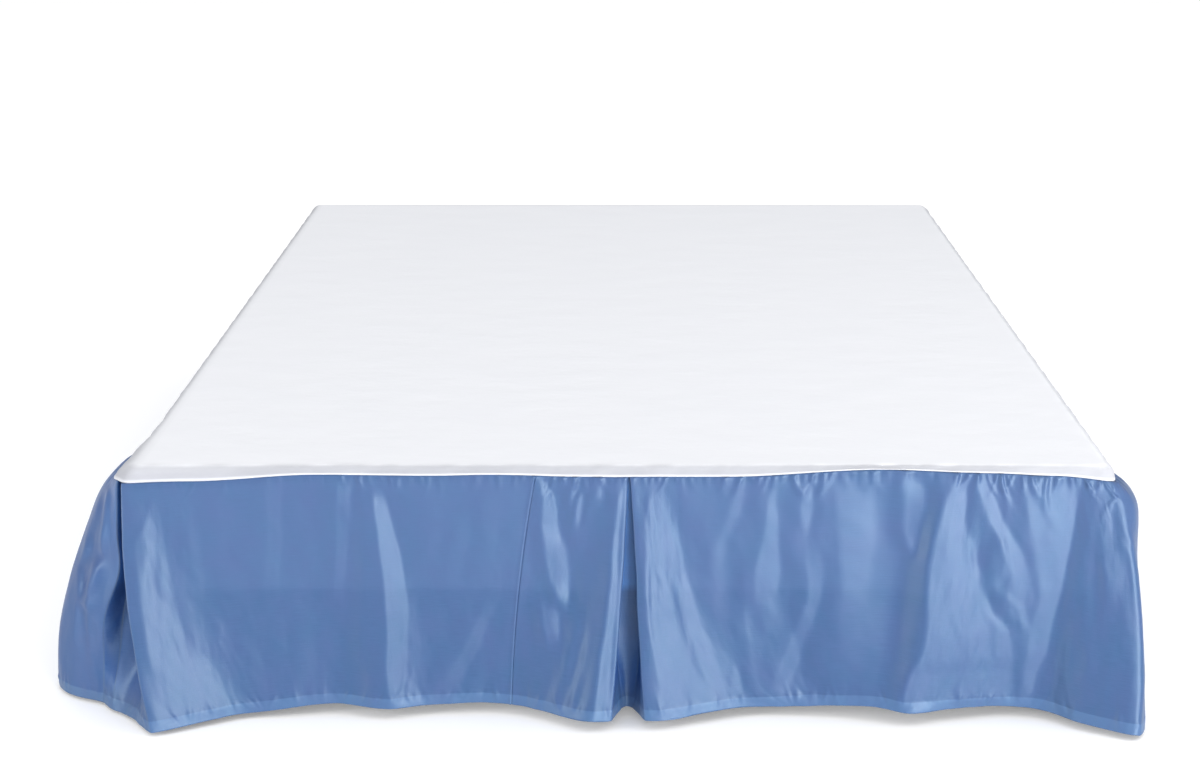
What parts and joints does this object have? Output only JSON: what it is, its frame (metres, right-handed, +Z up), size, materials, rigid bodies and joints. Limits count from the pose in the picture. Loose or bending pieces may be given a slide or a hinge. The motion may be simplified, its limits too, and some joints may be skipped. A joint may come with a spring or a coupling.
{
  "type": "bed skirt on a bed base",
  "caption": "Satin bed skirt with a white cloth deck and a pleated blue drop to the floor on three sides, on a plain base with legs.",
  "frame": {"origin": "on the floor, in the middle of the whole outline, the skirt's folds included", "axes": "+Z up, +Y along the bed from its foot to its head, +X to the right as seen from the foot"},
  "size_m": [1.825, 2.1311, 0.411],
  "materials": {
    "deck_cloth": "matt plain weave",
    "drop_satin": "satin weave with a soft sheen",
    "base_cover": "matt cover cloth",
    "leg_wood": "satin"
  },
  "bodies": {
    "root": {"platform": "deck_cloth", "drop_left_head": "drop_satin", "drop_left_corner": "drop_satin", "drop_foot": "drop_satin", "drop_right_side": "drop_satin", "drop_right_head": "drop_satin", "bed_base": "base_cover", "leg_foot_left": "leg_wood", "leg_foot_right": "leg_wood", "leg_middle_left": "leg_wood", "leg_middle_right": "leg_wood", "leg_head_left": "leg_wood", "leg_head_right": "leg_wood"}
  },
  "joints": []
}
